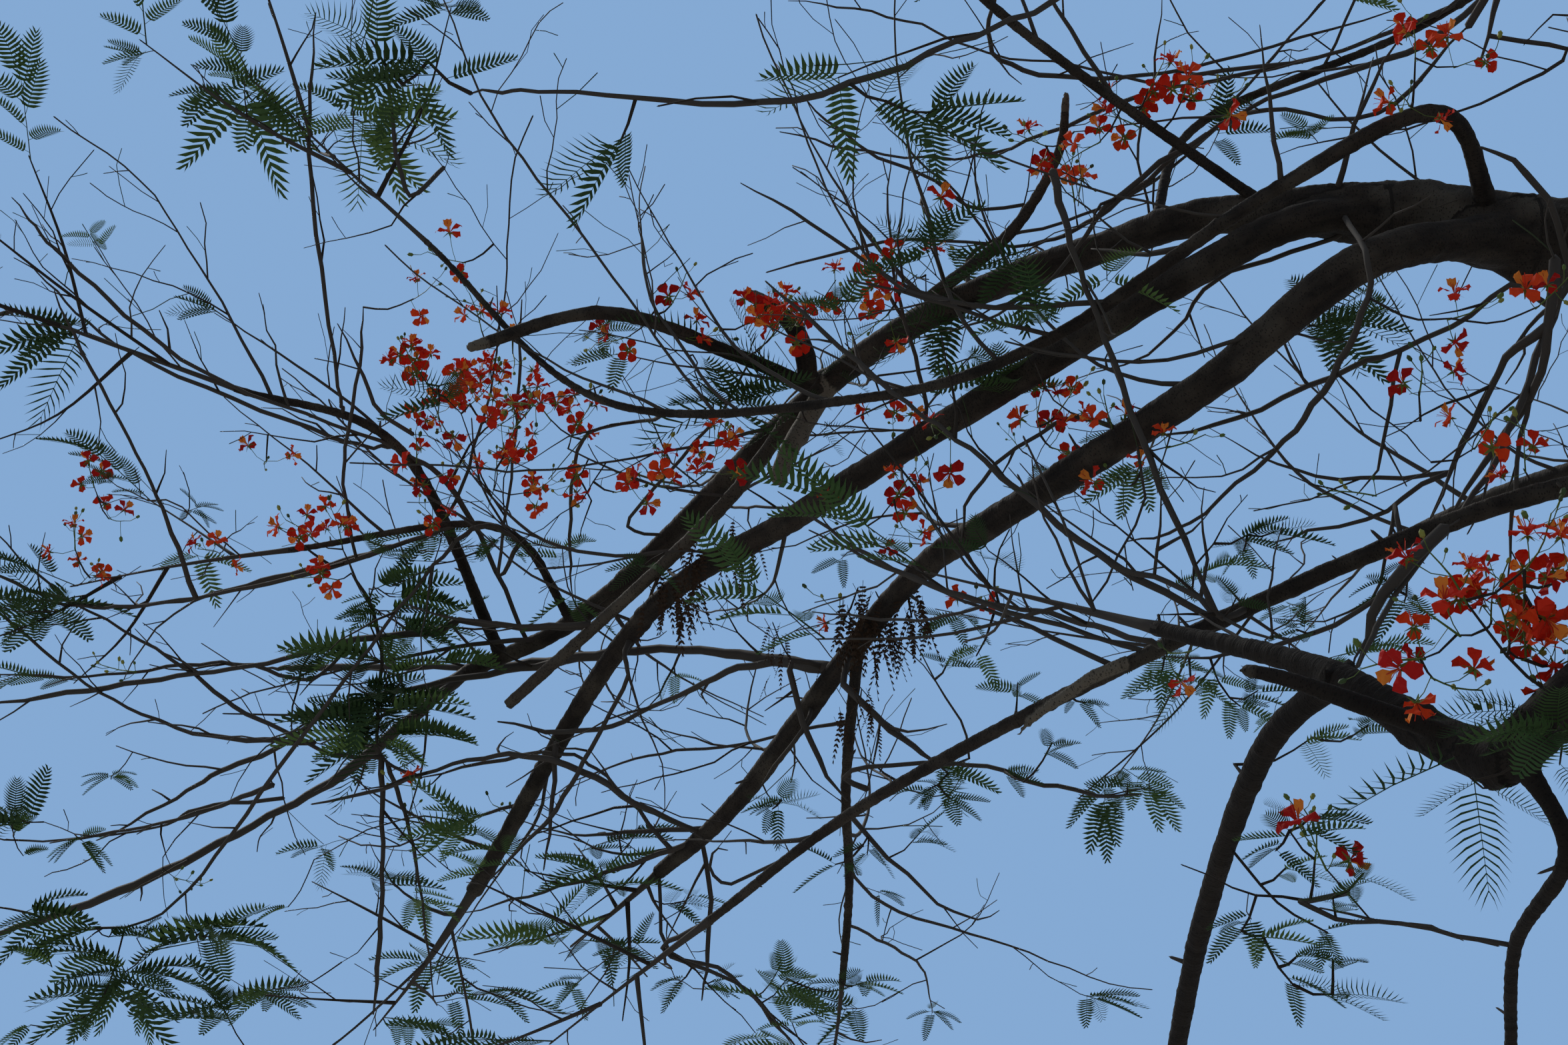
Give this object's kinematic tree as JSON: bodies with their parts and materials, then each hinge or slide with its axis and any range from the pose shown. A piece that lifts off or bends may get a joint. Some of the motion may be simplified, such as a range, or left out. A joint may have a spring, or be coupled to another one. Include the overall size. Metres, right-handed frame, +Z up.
{
  "type": "flame tree",
  "caption": "Broad flame tree rooted in the ground, with a flared trunk, arching bare boughs and an open umbrella crown of feathery leaves and red flower heads.",
  "frame": {"origin": "middle of the flat cut under the trunk, at ground level", "axes": "+Z up along the trunk; -Y is the side that the picture is taken from, and -X is the side of the crown that it shows"},
  "size_m": [14.615, 13.9182, 9.4909],
  "materials": {
    "bark": "dark brown grey bark with fine wrinkles, cracks and pale pores, matt",
    "foliage": "feathery green leaves, soft and slightly shiny, with red orange flower heads and green buds"
  },
  "bodies": {
    "root": {"arch_bough": "bark", "arch_bough_foliage": "foliage", "back_bough": "bark", "back_bough_foliage": "foliage", "back_crown_bough": "bark", "back_crown_bough_foliage": "foliage", "back_left_bough": "bark", "back_left_bough_foliage": "foliage", "back_limb": "bark", "back_limb_foliage": "foliage", "back_right_bough": "bark", "back_right_bough_foliage": "foliage", "broken_stub": "bark", "crooked_bough": "bark", "crooked_bough_foliage": "foliage", "crooked_limb": "bark", "falling_bough": "bark", "falling_bough_foliage": "foliage", "far_left_bough": "bark", "far_left_bough_foliage": "foliage", "front_bough": "bark", "front_bough_foliage": "foliage", "front_left_bough": "bark", "front_left_bough_foliage": "foliage", "front_left_crown_bough": "bark", "front_left_crown_bough_foliage": "foliage", "front_left_limb": "bark", "front_left_limb_foliage": "foliage", "front_middle_bough": "bark", "front_middle_bough_foliage": "foliage", "front_right_bough": "bark", "front_right_bough_foliage": "foliage", "front_right_crown_bough": "bark", "front_right_crown_bough_foliage": "foliage", "front_right_limb": "bark", "front_right_limb_foliage": "foliage", "inner_bough": "bark", "inner_bough_foliage": "foliage", "level_bough": "bark", "level_bough_foliage": "foliage", "long_low_bough": "bark", "long_low_bough_foliage": "foliage", "lower_bough": "bark", "lower_bough_foliage": "foliage", "middle_bough": "bark", "middle_bough_foliage": "foliage", "plumb_bough": "bark", "plumb_bough_foliage": "foliage", "right_crown_bough": "bark", "right_crown_bough_foliage": "foliage", "right_limb": "bark", "right_limb_foliage": "foliage", "rising_bough": "bark", "rising_bough_foliage": "foliage", "top_bough": "bark", "top_bough_foliage": "foliage", "trunk": "bark", "upper_bough": "bark", "upper_bough_foliage": "foliage", "west_limb": "bark"}
  },
  "joints": []
}
